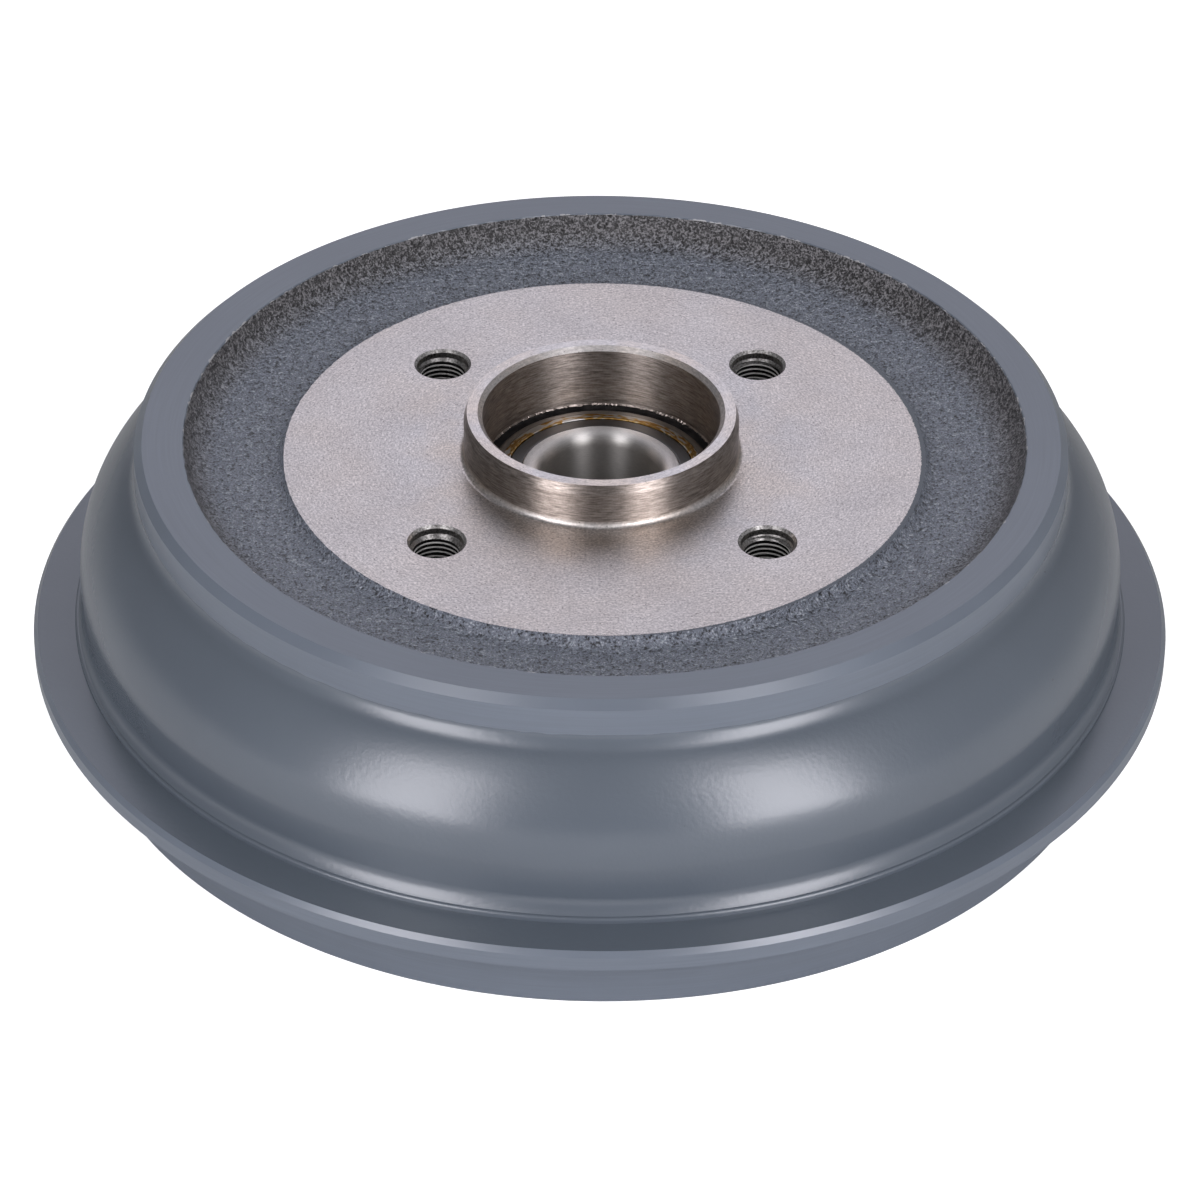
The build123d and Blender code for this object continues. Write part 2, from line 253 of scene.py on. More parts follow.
def drum_turnings(bm):
    """The drum's section, one stretch for each finish, from the bearing seat round to it again."""
    seat_r = bearing_r + seat_gap
    groove_floor_z = groove_lip_z - groove_width
    burr_top_z = groove_lip_z + burr_height
    bore_chamfer_z = spigot_top_z - cap_bore_chamfer
    spigot_lead_z = spigot_top_z - spigot_lead_height
    spigot_root_z = spigot_root_radius + fillet_margin
    channel_wall_r = channel_rim_r - channel_wall_run
    channel_start_r = face_r + face_edge_run + channel_depth - face_edge_drop
    flange_edge_z = flange_top_z - flange_fall
    turned(bm, [
        (seat_r, groove_floor_z),
        (cap_bore_r + groove_depth, groove_floor_z),
        (cap_bore_r + groove_depth, groove_lip_z),
        (cap_bore_r, groove_lip_z),
    ], GROOVE_SHADE)
    turned(bm, [
        (cap_bore_r, groove_lip_z),
        (cap_bore_r, burr_top_z),
        (cap_bore_r, bore_chamfer_z),
    ], TURNED_WALL)
    turned(bm, [
        (cap_bore_r, bore_chamfer_z),
        (cap_bore_r + cap_bore_chamfer, spigot_top_z),
        (spigot_r - spigot_lead_width, spigot_top_z),
    ], TURNED_FACE)
    turned(bm, [
        (spigot_r - spigot_lead_width, spigot_top_z),
        (spigot_r, spigot_lead_z),
        (spigot_r, spigot_root_z),
    ], TURNED_WALL)
    turned(bm, [
        (spigot_r, spigot_root_z),
        (spigot_r, 0, spigot_root_radius, round_segments),
        (face_r, 0),
    ], TURNED_FACE)
    turned(bm, [
        (face_r, 0),
        (face_r + face_edge_run, -face_edge_drop, face_edge_radius, face_edge_segments),
        (channel_start_r, -channel_depth, channel_face_radius, channel_face_segments),
        (channel_wall_r, channel_rise - channel_depth, channel_root_radius, round_segments),
        (channel_rim_r, rim_height - rim_edge_break),
    ], SAND_CAST, rows=channel_row)
    turned(bm, [
        (channel_rim_r, rim_height - rim_edge_break),
        (channel_rim_r + rim_edge_break, rim_height),
        (rim_r - rim_chamfer, rim_height),
        (rim_r, rim_height - rim_chamfer),
        (rim_r, band_step_z + band_edge_height),
        (rim_r, band_step_z),
    ], COATED_TURNED)
    turned(bm, [
        (rim_r, band_step_z),
        (rim_r - band_step, band_step_z),
        (rim_r - band_step, rim_band_end_z, bulge_root_radius, round_segments),
        (shoulder_r, shoulder_z, shoulder_radius, long_round_segments),
        (crest_r, crest_z, crest_radius, long_round_segments),
        (foot_r, land_z + ledge_r - foot_r, foot_radius, foot_segments),
        (ledge_r, land_z),
        (land_r, land_z, land_radius, round_segments),
        (land_r, flange_top_z),
        (flange_r - flange_chamfer_width, flange_edge_z),
    ], COATED_CAST)
    turned(bm, [
        (flange_r - flange_chamfer_width, flange_edge_z),
        (flange_r, flange_edge_z - flange_chamfer_height),
        (flange_r, flange_bottom_z),
        (lip_r, flange_bottom_z, lip_root_radius, round_segments),
        (lip_r, open_end_z + lip_chamfer),
        (lip_r - lip_chamfer, open_end_z),
        (mouth_r + mouth_chamfer, open_end_z),
        (mouth_r, open_end_z + mouth_chamfer),
        (mouth_r, friction_end_z - mouth_taper),
    ], COATED_TURNED)
    turned(bm, [
        (mouth_r, friction_end_z - mouth_taper),
        (friction_r, friction_end_z),
        (friction_r, friction_top_z),
        (friction_r + relief_step, friction_top_z),
        (friction_r + relief_step, relief_top_z),
        (inner_r, relief_top_z),
    ], FRICTION)
    turned(bm, [
        (inner_r, relief_top_z),
        (inner_r, web_bottom_z, inner_corner_radius, round_segments),
        (pad_r + pad_edge_run, web_bottom_z, pad_radius, pad_segments),
        (pad_r, pad_bottom_z, pad_radius, pad_segments),
        (hub_r, pad_bottom_z, hub_root_radius, round_segments),
        (hub_r, hub_end_z + hub_chamfer),
    ], COATED_CAST)
    turned(bm, [
        (hub_r, hub_end_z + hub_chamfer),
        (hub_r - hub_chamfer, hub_end_z),
        (stop_r, hub_end_z),
        (stop_r, bearing_bottom_z),
        (seat_r, bearing_bottom_z),
        (seat_r, groove_floor_z),
    ], TURNED_WALL)


def roughen_channel(bm):
    """Shifts the cast channel off the turning axis and gives it the lumps of a sand mould."""
    lump_size = 1.6 * MM
    grain_size = 0.8 * MM
    lump_height = 0.10 * MM
    grain_height = 0.13 * MM
    edge_wander = 0.16 * MM
    bm.normal_update()
    channel = {v for face in bm.faces if face.material_index == SAND_CAST for v in face.verts}
    moves = {}
    for vert in channel:
        shared = any(face.material_index != SAND_CAST for face in vert.link_faces)
        lump = noise.noise(vert.co / lump_size) * lump_height
        grain = noise.noise(vert.co / grain_size + Vector((7, 3, 5))) * grain_height
        if shared:
            outwards = Vector((vert.co.x, vert.co.y, 0)).normalized()
            ragged = noise.noise(vert.co / grain_size) + noise.noise(vert.co / lump_size)
            moves[vert] = outwards * ragged * edge_wander
        else:
            moves[vert] = vert.normal * (lump + grain)
    for vert in edge_verts(bm, channel_rim_r + rim_edge_break, rim_height):
        outwards = Vector((vert.co.x, vert.co.y, 0)).normalized()
        moves[vert] = outwards * noise.noise(vert.co / lump_size) * edge_wander
    for vert, move in moves.items():
        vert.co += move + casting_shift


def edge_verts(bm, radius, height):
    """The corners of one turned edge."""
    near = 0.01 * MM
    return [
        vert for vert in bm.verts
        if abs(vert.co.z - height) < near and abs(math.hypot(vert.co.x, vert.co.y) - radius) < near
    ]


def burr_groove_lip(bm):
    """Leaves the torn edge that the grooving tool pushed up at the foot of the cap bore."""
    burr_size = 0.7 * MM
    least_reach = 0.06 * MM
    burr_reach = 0.9 * MM
    for vert in edge_verts(bm, cap_bore_r, groove_lip_z):
        torn = abs(noise.noise(vert.co / burr_size))
        inwards = Vector((-vert.co.x, -vert.co.y, 0)).normalized()
        vert.co += inwards * (least_reach + torn * burr_reach)


def waver_band_step(bm):
    """Lets the turned band run out unevenly onto the cast bulge."""
    wave = 4.0 * MM
    wander = 0.22 * MM
    for radius in (rim_r, rim_r - band_step):
        for vert in edge_verts(bm, radius, band_step_z):
            flat = Vector((vert.co.x, vert.co.y, 0))
            vert.co.z += noise.noise(flat / wave) * wander


def tap_cutter():
    """The solid that a tap leaves in the four bolt holes: one pitch of thread, wound round."""
    bm = bmesh.new()
    spare_turns = 3
    turns = math.ceil(-pad_bottom_z / thread_pitch) + spare_turns
    start_z = -turns * thread_pitch
    flank = (thread_pitch - thread_crest - thread_root) / 2
    profile = [
        (thread_minor_r, 0),
        (thread_minor_r, thread_crest),
        (thread_major_r, thread_crest + flank),
        (thread_major_r, thread_crest + flank + thread_root),
        (thread_minor_r, thread_pitch),
    ]
    line = [bm.verts.new((r, 0, start_z + z)) for r, z in profile]
    edges = [bm.edges.new(pair) for pair in zip(line, line[1:])]
    bmesh.ops.spin(
        bm, geom=line + edges, cent=(0, 0, 0), axis=(0, 0, 1), dvec=(0, 0, thread_pitch / thread_steps),
        angle=math.tau * turns, steps=thread_steps * turns,
        use_merge=False, use_normal_flip=False, use_duplicate=False,
    )
    bmesh.ops.remove_doubles(bm, verts=bm.verts, dist=cutter_weld_distance)
    overrun = 0.6 * MM
    for height, normal in ((pad_bottom_z - overrun, (0, 0, -1)), (-relief_depth / 2, (0, 0, 1))):
        cut = bmesh.ops.bisect_plane(
            bm, geom=bm.verts[:] + bm.edges[:] + bm.faces[:], plane_co=(0, 0, height), plane_no=normal,
            clear_outer=True,
        )
        rim = [item for item in cut["geom_cut"] if isinstance(item, bmesh.types.BMEdge)]
        bmesh.ops.edgeloop_fill(bm, edges=rim)
    bmesh.ops.recalc_face_normals(bm, faces=bm.faces)
    return at_each_bolt(bm, "bolt_taps")


def drill_cutter():
    """The mouth chamfer, plain relief and starting cone of the four bolt holes."""
    bm = bmesh.new()
    above = 2 * MM
    cone_overlap = 0.05 * MM
    section = [
        (0, above),
        (relief_r + hole_chamfer + above, above),
        (relief_r, -hole_chamfer),
        (relief_r, -relief_depth),
        (thread_minor_r - cone_overlap, -relief_depth - cone_depth),
        (0, -relief_depth - cone_depth),
    ]
    line = [bm.verts.new((r, 0, z)) for r, z in section]
    edges = [bm.edges.new(pair) for pair in zip(line, line[1:])]
    bmesh.ops.spin(
        bm, geom=line + edges, cent=(0, 0, 0), axis=(0, 0, 1), dvec=(0, 0, 0), angle=math.tau,
        steps=2 * thread_steps, use_merge=True, use_normal_flip=False, use_duplicate=False,
    )
    bmesh.ops.remove_doubles(bm, verts=bm.verts, dist=cutter_weld_distance)
    bmesh.ops.recalc_face_normals(bm, faces=bm.faces)
    return at_each_bolt(bm, "bolt_drills")


def at_each_bolt(bm, name):
    """Copies a cutter from the axis to every bolt hole."""
    first = bm.verts[:] + bm.edges[:] + bm.faces[:]
    for number in range(bolt_count):
        angle = math.radians(first_bolt_degrees) + number * math.tau / bolt_count
        place = Vector((bolt_circle_r * math.cos(angle), bolt_circle_r * math.sin(angle), 0))
        if number < bolt_count - 1:
            copy = bmesh.ops.duplicate(bm, geom=first)["geom"]
        else:
            copy = first
        moved = [item for item in copy if isinstance(item, bmesh.types.BMVert)]
        bmesh.ops.rotate(bm, verts=moved, cent=(0, 0, 0), matrix=Matrix.Rotation(angle, 3, "Z"))
        bmesh.ops.translate(bm, verts=moved, vec=place)
    return new_object(name, bm)


def cut(piece, cutter, finish):
    """Cuts a solid out of a piece for good and gives the new faces the cutter's finish."""
    cutter.data.materials.append(finish)
    modifier = piece.modifiers.new("cut", "BOOLEAN")
    modifier.operation = "DIFFERENCE"
    modifier.solver = "MANIFOLD"
    modifier.material_mode = "TRANSFER"
    modifier.object = cutter
    bake_modifiers(piece)
    bpy.data.objects.remove(cutter)


def bake_modifiers(piece):
    """Replaces a piece's mesh by what its modifiers make of it."""
    shaped = piece.evaluated_get(bpy.context.evaluated_depsgraph_get())
    mesh = bpy.data.meshes.new_from_object(shaped)
    piece.modifiers.clear()
    piece.data = mesh


def smooth(piece):
    """Shades a piece smoothly between its sharp edges, flat faces leading."""
    piece.data.shade_smooth()
    piece.data.set_sharp_from_angle(angle=math.radians(sharp_degrees))
    weighted = piece.modifiers.new("flat_faces_lead", "WEIGHTED_NORMAL")
    weighted.keep_sharp = True


def shader_node(tree, kind, inputs=None, **settings):
    """Adds a node, with its settings and the values or links of its inputs."""
    made = tree.nodes.new(kind)
    for key, value in settings.items():
        setattr(made, key, value)
    for key, value in (inputs or {}).items():
        if isinstance(value, bpy.types.NodeSocket):
            tree.links.new(value, made.inputs[key])
        else:
            made.inputs[key].default_value = value
    return made


def calculate(tree, operation, first, second=0.0):
    """One step of arithmetic on values or sockets."""
    return shader_node(tree, "ShaderNodeMath", {0: first, 1: second}, operation=operation).outputs[0]


def map_range(tree, value, start, end, low=0.0, high=1.0):
    """Carries a value from one range to another and holds it at both ends."""
    limits = {"Value": value, "From Min": start, "From Max": end, "To Min": low, "To Max": high}
    return shader_node(tree, "ShaderNodeMapRange", limits).outputs[0]


def noise_texture(tree, place, scale, detail, roughness=0.5):
    """Noise round a place; returns its outputs, a value and a colour."""
    inputs = {"Vector": place, "Scale": scale, "Detail": detail, "Roughness": roughness}
    return shader_node(tree, "ShaderNodeTexNoise", inputs).outputs


def ramp(tree, factor, stops):
    """A colour ramp from (position, grey or colour) stops."""
    made = shader_node(tree, "ShaderNodeValToRGB", {"Fac": factor})
    elements = made.color_ramp.elements
    while len(elements) < len(stops):
        elements.new(1.0)
    for element, (position, colour) in zip(elements, stops):
        element.position = position
        element.color = (*colour, 1) if isinstance(colour, tuple) else (colour, colour, colour, 1)
    return made.outputs["Color"]


def mixed(tree, factor, first, second, blend="MIX"):
    """Mixes two colours."""
    made = shader_node(tree, "ShaderNodeMix", data_type="RGBA", blend_type=blend)
    for socket, value in ((made.inputs[0], factor), (made.inputs[6], first), (made.inputs[7], second)):
        if isinstance(value, bpy.types.NodeSocket):
            tree.links.new(value, socket)
        else:
            socket.default_value = (*value, 1) if isinstance(value, tuple) else value
    return made.outputs[2]


def new_group(name, inputs, outputs):
    """An empty shader group with its named sockets; returns the tree, its inputs and its exit."""
    tree = bpy.data.node_groups.new(name, "ShaderNodeTree")
    for label, kind, value in inputs:
        socket = tree.interface.new_socket(name=label, in_out="INPUT", socket_type=kind)
        if value is not None:
            socket.default_value = value
    for label, kind in outputs:
        tree.interface.new_socket(name=label, in_out="OUTPUT", socket_type=kind)
    entry = tree.nodes.new("NodeGroupInput")
    leave = tree.nodes.new("NodeGroupOutput")
    return tree, entry.outputs, leave


def tool_marks_group():
    """Fine grooves round the axis, wavering and broken like those of a lathe tool."""
    tree, given, leave = new_group(
        "tool_marks",
        [("Across", "NodeSocketFloat", 0.0), ("Place", "NodeSocketVector", None),
         ("Pitch", "NodeSocketFloat", 0.5 * MM), ("Streak Length", "NodeSocketFloat", 20 * MM)],
        [("Height", "NodeSocketFloat"), ("Streaks", "NodeSocketFloat")],
    )
    along = shader_node(tree, "ShaderNodeVectorMath", {0: given["Place"]}, operation="SCALE")
    tree.links.new(calculate(tree, "DIVIDE", 1.0, given["Streak Length"]), along.inputs["Scale"])
    parts = shader_node(tree, "ShaderNodeSeparateXYZ", {0: along.outputs[0]})
    across = calculate(tree, "DIVIDE", given["Across"], given["Pitch"])
    stretched = shader_node(
        tree, "ShaderNodeCombineXYZ", {"X": parts.outputs["X"], "Y": parts.outputs["Y"], "Z": across}
    )
    fine = noise_texture(tree, stretched.outputs[0], 1.0, 2.0, 0.6)
    rings = shader_node(
        tree, "ShaderNodeTexNoise", {"W": across, "Scale": 0.5, "Detail": 1.0}, noise_dimensions="1D"
    )
    height = calculate(tree, "ADD", fine[0], rings.outputs[0])
    tree.links.new(calculate(tree, "MULTIPLY", height, 0.5), leave.inputs["Height"])
    tree.links.new(fine[0], leave.inputs["Streaks"])
    return tree


def specks_group():
    """Small dark pits scattered over a surface; the mask is 1 in a pit."""
    tree, given, leave = new_group(
        "specks",
        [("Place", "NodeSocketVector", None), ("Spacing", "NodeSocketFloat", 2 * MM),
         ("Size", "NodeSocketFloat", 0.15), ("Share", "NodeSocketFloat", 0.3)],
        [("Mask", "NodeSocketFloat")],
    )
    bent = noise_texture(tree, given["Place"], calculate(tree, "DIVIDE", 2.0, given["Spacing"]), 1.0)
    wander = shader_node(
        tree, "ShaderNodeVectorMath", {0: bent["Color"], 1: (0.5, 0.5, 0.5)}, operation="SUBTRACT"
    )
    pushed = shader_node(tree, "ShaderNodeVectorMath", {0: wander.outputs[0]}, operation="SCALE")
    tree.links.new(calculate(tree, "MULTIPLY", given["Spacing"], 0.5), pushed.inputs["Scale"])
    place = shader_node(
        tree, "ShaderNodeVectorMath", {0: given["Place"], 1: pushed.outputs[0]}, operation="ADD"
    )
    cells = shader_node(
        tree, "ShaderNodeTexVoronoi",
        {"Vector": place.outputs[0], "Scale": calculate(tree, "DIVIDE", 1.0, given["Spacing"])},
    )
    chance = shader_node(tree, "ShaderNodeSeparateXYZ", {0: cells.outputs["Color"]})
    chosen = calculate(tree, "LESS_THAN", chance.outputs["X"], given["Share"])
    size = calculate(tree, "MULTIPLY", given["Size"], chance.outputs["Y"])
    inside = map_range(tree, cells.outputs["Distance"], size, calculate(tree, "MULTIPLY", size, 0.5))
    tree.links.new(calculate(tree, "MULTIPLY", inside, chosen), leave.inputs["Mask"])
    return tree


def sand_grain_group():
    """The skin of a sand casting: lumps with grains on them, with masks for painted shade in its low spots
    and painted glints on its high ones.
    """
    tree, given, leave = new_group(
        "sand_grain",
        [("Place", "NodeSocketVector", None), ("Lump", "NodeSocketFloat", 1.2 * MM),
         ("Grain", "NodeSocketFloat", 0.5 * MM), ("Painted Wall Shade", "NodeSocketFloat", 0.0)],
        [("Height", "NodeSocketFloat"), ("Painted Pit Shade", "NodeSocketFloat"), ("Painted Glints", "NodeSocketFloat")],
    )
    lumps, grains = (
        noise_texture(tree, given["Place"], calculate(tree, "DIVIDE", 1.0, given[size]), 2.0, 0.6)[0]
        for size in ("Lump", "Grain")
    )
    height = calculate(tree, "ADD", lumps, calculate(tree, "MULTIPLY", grains, 0.4))
    shade = calculate(
        tree, "ADD", calculate(tree, "MULTIPLY", lumps, 0.35), calculate(tree, "MULTIPLY", grains, 0.65)
    )
    # Painted shade: the low spots of the skin are marked to be painted black, and more of them on the shaded
    # wall.
    wall_shade_shift = calculate(tree, "MULTIPLY", given["Painted Wall Shade"], 0.08)
    pit_start, pit_end = (calculate(tree, "ADD", wall_shade_shift, level) for level in (0.475, 0.39))
    painted_pit_shade = map_range(tree, shade, pit_start, pit_end)
    # Painted glints: the high spots of the skin are marked to be painted light.
    painted_glints = map_range(tree, shade, 0.54, 0.64)
    tree.links.new(height, leave.inputs["Height"])
    tree.links.new(painted_pit_shade, leave.inputs["Painted Pit Shade"])
    tree.links.new(painted_glints, leave.inputs["Painted Glints"])
    return tree


def use_group(tree, group, inputs):
    """Places a shared group in a material."""
    made = shader_node(tree, "ShaderNodeGroup", node_tree=group)
    for key, value in inputs.items():
        if isinstance(value, bpy.types.NodeSocket):
            tree.links.new(value, made.inputs[key])
        else:
            made.inputs[key].default_value = value
    return made.outputs


def axis_group():
    """Distance from the turning axis, and height along it."""
    tree, given, leave = new_group(
        "axis_place", [("Place", "NodeSocketVector", None)],
        [("Radius", "NodeSocketFloat"), ("Height", "NodeSocketFloat")],
    )
    parts = shader_node(tree, "ShaderNodeSeparateXYZ", {0: given["Place"]})
    flat = shader_node(
        tree, "ShaderNodeCombineXYZ", {"X": parts.outputs["X"], "Y": parts.outputs["Y"], "Z": 0.0}
    )
    length = shader_node(tree, "ShaderNodeVectorMath", {0: flat.outputs[0]}, operation="LENGTH")
    tree.links.new(length.outputs["Value"], leave.inputs["Radius"])
    tree.links.new(parts.outputs["Z"], leave.inputs["Height"])
    return tree


tool_marks = tool_marks_group()
specks = specks_group()
sand_grain = sand_grain_group()
axis_place = axis_group()


def new_material(name, metallic, roughness, **constants):
    """A Principled material; returns it with its tree, its shader and its Object coordinates."""
    material = bpy.data.materials.new(name)
    material.use_nodes = True
    tree = material.node_tree
    shader = tree.nodes["Principled BSDF"]
    shader.inputs["Metallic"].default_value = metallic
    shader.inputs["Roughness"].default_value = roughness
    for key, value in constants.items():
        shader.inputs[key].default_value = value
    place = tree.nodes.new("ShaderNodeTexCoord").outputs["Object"]
    return material, tree, shader, place


def raise_surface(tree, shader, height, distance):
    """Turns a height into relief on the shader."""
    bump = shader_node(tree, "ShaderNodeBump", {"Height": height, "Distance": distance, "Strength": 1.0})
    tree.links.new(bump.outputs[0], shader.inputs["Normal"])


def coated_cast_material():
    """Blue-grey coating over a smooth casting, with the odd grain of dirt under it."""
    material, tree, shader, place = new_material("coated_cast", 0.0, 0.27, IOR=coating_ior)
    clouds = noise_texture(tree, place, 18.0, 3.0)
    colour = ramp(tree, clouds[0], [(0.35, (0.070, 0.084, 0.103)), (0.65, (0.078, 0.093, 0.113))])
    dirt = use_group(tree, specks, {"Place": place, "Spacing": 6 * MM, "Size": 0.06, "Share": 0.10})
    colour = mixed(tree, dirt["Mask"], colour, (0.03, 0.035, 0.04))
    tree.links.new(colour, shader.inputs["Base Color"])
    peel = noise_texture(tree, place, 900.0, 2.0)
    raise_surface(tree, shader, peel[0], 0.035 * MM)
    return material


def coated_turned_material():
    """The same coating over turned bands, whose tool marks show through."""
    material, tree, shader, place = new_material("coated_turned", 0.0, 0.3, IOR=coating_ior)
    at = use_group(tree, axis_place, {"Place": place})
    clouds = noise_texture(tree, place, 25.0, 3.0)
    colour = ramp(tree, clouds[0], [(0.35, (0.098, 0.116, 0.144)), (0.65, (0.106, 0.125, 0.154))])
    across = calculate(tree, "ADD", at["Radius"], at["Height"])
    marks = use_group(
        tree, tool_marks, {"Across": across, "Place": place, "Pitch": 0.5 * MM, "Streak Length": 25 * MM}
    )
    streaks = ramp(tree, marks["Streaks"], [(0.3, 0.93), (0.7, 1.04)])
    colour = mixed(tree, 1.0, colour, streaks, blend="MULTIPLY")
    from_casting = shader_node(
        tree, "ShaderNodeVectorMath", {0: place, 1: tuple(casting_shift)}, operation="SUBTRACT"
    )
    casting_place = use_group(tree, axis_place, {"Place": from_casting.outputs[0]})
    nicks = noise_texture(tree, place, 240.0, 4.0, 0.7)
    reach = calculate(tree, "MULTIPLY", calculate(tree, "SUBTRACT", nicks[0], 0.53), 3.5 * MM)
    worn = calculate(tree, "LESS_THAN", casting_place["Radius"], calculate(tree, "ADD", reach, channel_rim_r))
    colour = mixed(tree, worn, colour, (0.30, 0.30, 0.31))
    tree.links.new(colour, shader.inputs["Base Color"])
    raise_surface(tree, shader, marks["Height"], 0.02 * MM)
    return material


def sand_cast_material():
    """Coating over rough sand-cast skin, with painted shade in its low spots, painted glints on its high
    ones, and the wall under the rim painted darker and greyer as shade.
    """
    material, tree, shader, place = new_material("coated_sand_cast", 0.0, 0.42, IOR=coating_ior)
    at = use_group(tree, axis_place, {"Place": place})
    # Painted shade: towards the wall under the rim the coating turns darker and greyer, its glints dimmer and
    # its shaded low spots more.
    painted_wall_shade = map_range(tree, at["Radius"], channel_rim_r - 8 * MM, channel_rim_r - 1.5 * MM)
    skin = use_group(tree, sand_grain, {"Place": place, "Lump": 1.2 * MM, "Grain": 0.5 * MM, "Painted Wall Shade": painted_wall_shade})
    colour = mixed(tree, painted_wall_shade, (0.158, 0.176, 0.216), (0.135, 0.130, 0.136))
    painted_glints = mixed(tree, painted_wall_shade, (0.40, 0.425, 0.47), (0.19, 0.185, 0.19))
    # Painted glints on the high spots, then painted shade in the low ones.
    colour = mixed(tree, skin["Painted Glints"], colour, painted_glints)
    colour = mixed(tree, skin["Painted Pit Shade"], colour, (0.010, 0.009, 0.009))
    tree.links.new(colour, shader.inputs["Base Color"])
    raise_surface(tree, shader, skin["Height"], 1.2 * MM)
    return material


def turned_face_material():
    """Bare turned iron: short fine tool marks, graphite specks, faint stains, a ragged coated edge, and the
    spigot's top painted lighter as painted light.
    """
    material, tree, shader, place = new_material("turned_face", 1.0, 0.38)
    at = use_group(tree, axis_place, {"Place": place})
    marks = use_group(
        tree, tool_marks,
        {"Across": at["Radius"], "Place": place, "Pitch": 0.3 * MM, "Streak Length": 1.2 * MM},
    )
    clouds = noise_texture(tree, place, 55.0, 3.0)
    colour = ramp(tree, clouds[0], [(0.35, (0.56, 0.517, 0.483)), (0.65, (0.615, 0.568, 0.528))])
    stain = ramp(tree, clouds["Color"], [(0.40, (1.02, 0.985, 0.94)), (0.60, (0.94, 0.98, 1.03))])
    hub_side = map_range(tree, at["Radius"], spigot_r + 2 * MM, spigot_r + 22 * MM, 1.0, 0.25)
    colour = mixed(tree, hub_side, colour, mixed(tree, 1.0, colour, stain, blend="MULTIPLY"))
    streaks = ramp(tree, marks["Streaks"], [(0.3, 0.74), (0.7, 1.14)])
    colour = mixed(tree, 1.0, colour, streaks, blend="MULTIPLY")
    grain = noise_texture(tree, place, 1900.0, 2.0)
    raised = map_range(tree, at["Height"], 0.0, 0.5 * spigot_root_radius, 0.0, 0.7)
    grain_shade = ramp(tree, grain[0], [(0.3, 0.70), (0.7, 1.24)])
    grain_shade = mixed(tree, raised, grain_shade, (0.99, 0.97, 0.945))
    colour = mixed(tree, 1.0, colour, grain_shade, blend="MULTIPLY")
    # Painted light: the spigot's top face is painted up to 15 % lighter than the face below it.
    painted_light_on_top = map_range(tree, at["Height"], spigot_root_radius, spigot_top_z, 1.0, 1.15)
    colour = mixed(tree, 1.0, colour, painted_light_on_top, blend="MULTIPLY")
    flakes = use_group(tree, specks, {"Place": place, "Spacing": 0.8 * MM, "Size": 0.30, "Share": 0.6})
    colour = mixed(tree, calculate(tree, "MULTIPLY", flakes["Mask"], 0.65), colour, (0.08, 0.07, 0.07))
    ragged = calculate(tree, "ADD", at["Radius"], calculate(tree, "MULTIPLY", grain[0], 0.9 * MM))
    coat = map_range(tree, ragged, face_r + 0.14 * MM, face_r + 0.20 * MM)
    tree.links.new(mixed(tree, coat, colour, (0.06, 0.07, 0.084)), shader.inputs["Base Color"])
    tree.links.new(calculate(tree, "SUBTRACT", 1.0, coat), shader.inputs["Metallic"])
    relief = calculate(tree, "ADD", marks["Height"], grain[0])
    raise_surface(tree, shader, relief, 0.02 * MM)
    return material


def turned_wall_material():
    """Bare turned iron of the spigot and bores: torn grooves that run round a brownish wall."""
    material, tree, shader, place = new_material(
        "turned_wall", 1.0, 0.42, **{"Anisotropic": 0.85, "Anisotropic Rotation": across_the_grooves}
    )
    at = use_group(tree, axis_place, {"Place": place})
    across = calculate(tree, "ADD", at["Height"], calculate(tree, "MULTIPLY", at["Radius"], 0.5))
    marks = use_group(
        tree, tool_marks, {"Across": across, "Place": place, "Pitch": 0.34 * MM, "Streak Length": 3.2 * MM}
    )
    grain = noise_texture(tree, place, 2200.0, 2.0)
    colour = ramp(tree, marks["Streaks"], [(0.3, (0.205, 0.176, 0.155)), (0.7, (0.50, 0.437, 0.392))])
    colour = mixed(tree, 1.0, colour, ramp(tree, grain[0], [(0.3, 0.88), (0.7, 1.08)]), blend="MULTIPLY")
    tree.links.new(colour, shader.inputs["Base Color"])
    raise_surface(tree, shader, marks["Height"], 0.10 * MM)
    return material


def groove_shade_material():
    """Iron at the bottom of a groove, painted near black as shade."""
    material, tree, shader, place = new_material("groove_painted_shade", 0.0, 0.6)
    patches = noise_texture(tree, place, 400.0, 2.0)
    # Painted shade: near black all through the groove.
    colour = ramp(tree, patches[0], [(0.4, (0.008, 0.007, 0.007)), (0.7, (0.03, 0.026, 0.024))])
    tree.links.new(colour, shader.inputs["Base Color"])
    return material


